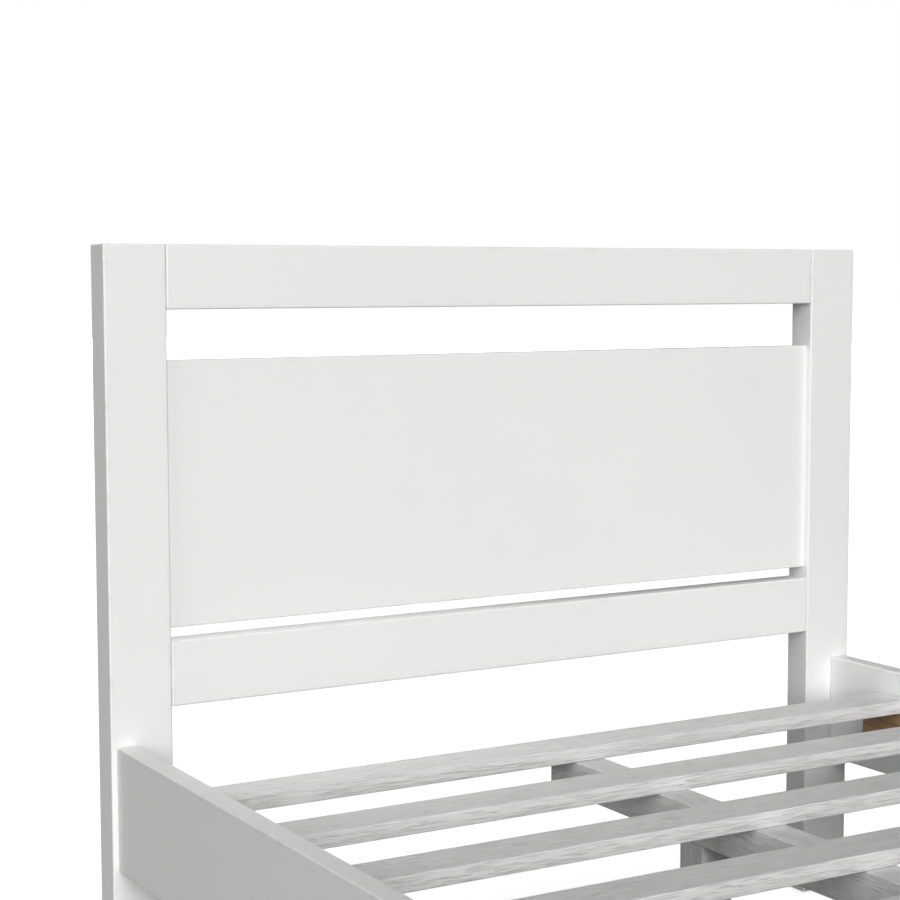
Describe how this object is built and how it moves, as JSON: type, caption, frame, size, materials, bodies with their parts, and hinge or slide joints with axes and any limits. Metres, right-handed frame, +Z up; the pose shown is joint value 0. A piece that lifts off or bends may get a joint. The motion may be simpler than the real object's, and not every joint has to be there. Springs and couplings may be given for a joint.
{
  "type": "bed frame",
  "caption": "White wooden single bed frame with a panelled headboard, low footboard, side rails, slats and a legged centre beam; the centre legs have screwed levelling feet.",
  "frame": {"origin": "on the floor under the middle of the bed", "axes": "+Z up, +Y along the bed towards the headboard, +X to the right seen from the foot end"},
  "size_m": [1.072, 1.988, 0.886],
  "materials": {
    "white_satin_paint": "smooth satin white paint on wood",
    "white_paint_over_grain": "thin white paint with the wood grain showing through",
    "bare_pine": "unpainted brown wood",
    "zinc_plated_steel": "zinc plated",
    "dark_plastic": "moulded matt plastic"
  },
  "bodies": {
    "bed_frame": {"headboard_post_left": "white_satin_paint", "headboard_post_right": "white_satin_paint", "headboard_top_rail": "white_satin_paint", "headboard_panel": "white_satin_paint", "headboard_lower_rail": "white_satin_paint", "foot_post_left": "white_satin_paint", "foot_post_right": "white_satin_paint", "foot_rail": "white_satin_paint", "side_rail_left": "white_satin_paint", "side_rail_right": "white_satin_paint", "slat_ledger_left": "bare_pine", "slat_ledger_right": "bare_pine", "slat_01": "white_paint_over_grain", "slat_02": "white_paint_over_grain", "slat_03": "white_paint_over_grain", "slat_04": "white_paint_over_grain", "slat_05": "white_paint_over_grain", "slat_06": "white_paint_over_grain", "slat_07": "white_paint_over_grain", "slat_08": "white_paint_over_grain", "slat_09": "white_paint_over_grain", "slat_10": "white_paint_over_grain", "slat_11": "white_paint_over_grain", "centre_beam": "white_paint_over_grain", "centre_leg_head": "white_paint_over_grain", "centre_leg_middle": "white_paint_over_grain", "centre_leg_foot": "white_paint_over_grain", "headboard_post_glide_left": "dark_plastic", "headboard_post_glide_right": "dark_plastic", "foot_post_glide_left": "dark_plastic", "foot_post_glide_right": "dark_plastic", "bed_bolt_head_left_upper": "zinc_plated_steel", "rail_insert_head_left_upper": "zinc_plated_steel", "bed_bolt_head_left_lower": "zinc_plated_steel", "rail_insert_head_left_lower": "zinc_plated_steel", "bed_bolt_head_right_upper": "zinc_plated_steel", "rail_insert_head_right_upper": "zinc_plated_steel", "bed_bolt_head_right_lower": "zinc_plated_steel", "rail_insert_head_right_lower": "zinc_plated_steel", "bed_bolt_foot_left_upper": "zinc_plated_steel", "rail_insert_foot_left_upper": "zinc_plated_steel", "bed_bolt_foot_left_lower": "zinc_plated_steel", "rail_insert_foot_left_lower": "zinc_plated_steel", "bed_bolt_foot_right_upper": "zinc_plated_steel", "rail_insert_foot_right_upper": "zinc_plated_steel", "bed_bolt_foot_right_lower": "zinc_plated_steel", "rail_insert_foot_right_lower": "zinc_plated_steel", "leg_bolt_head": "zinc_plated_steel", "leg_insert_head": "zinc_plated_steel", "leg_bolt_middle": "zinc_plated_steel", "leg_insert_middle": "zinc_plated_steel", "leg_bolt_foot": "zinc_plated_steel", "leg_insert_foot": "zinc_plated_steel"},
    "levelling_pad_head": {"leveller_pad_head": "dark_plastic"},
    "levelling_stem_head": {"leveller_stem_head": "zinc_plated_steel"},
    "levelling_pad_middle": {"leveller_pad_middle": "dark_plastic"},
    "levelling_stem_middle": {"leveller_stem_middle": "zinc_plated_steel"},
    "levelling_pad_foot": {"leveller_pad_foot": "dark_plastic"},
    "levelling_stem_foot": {"leveller_stem_foot": "zinc_plated_steel"}
  },
  "joints": [
    {"name": "level_slide_head", "type": "slide", "parent": "bed_frame", "child": "levelling_pad_head", "axis": [0, 0, -1], "range_m": [0, 0.012]},
    {"name": "level_screw_head", "type": "hinge", "parent": "levelling_pad_head", "child": "levelling_stem_head", "pos_m": [0, 0.576, 0.01], "axis": [0, 0, -1], "range_deg": [0, 3455.9]},
    {"name": "level_slide_middle", "type": "slide", "parent": "bed_frame", "child": "levelling_pad_middle", "axis": [0, 0, -1], "range_m": [0, 0.012]},
    {"name": "level_screw_middle", "type": "hinge", "parent": "levelling_pad_middle", "child": "levelling_stem_middle", "pos_m": [0, 0, 0.01], "axis": [0, 0, -1], "range_deg": [0, 3455.9]},
    {"name": "level_slide_foot", "type": "slide", "parent": "bed_frame", "child": "levelling_pad_foot", "axis": [0, 0, -1], "range_m": [0, 0.012]},
    {"name": "level_screw_foot", "type": "hinge", "parent": "levelling_pad_foot", "child": "levelling_stem_foot", "pos_m": [0, -0.576, 0.01], "axis": [0, 0, -1], "range_deg": [0, 3455.9]}
  ],
  "couplings": [
    {"joint": "level_slide_head", "follows": "level_screw_head", "m_per_rad": 0.00019894},
    {"joint": "level_slide_middle", "follows": "level_screw_middle", "m_per_rad": 0.00019894},
    {"joint": "level_slide_foot", "follows": "level_screw_foot", "m_per_rad": 0.00019894}
  ]
}
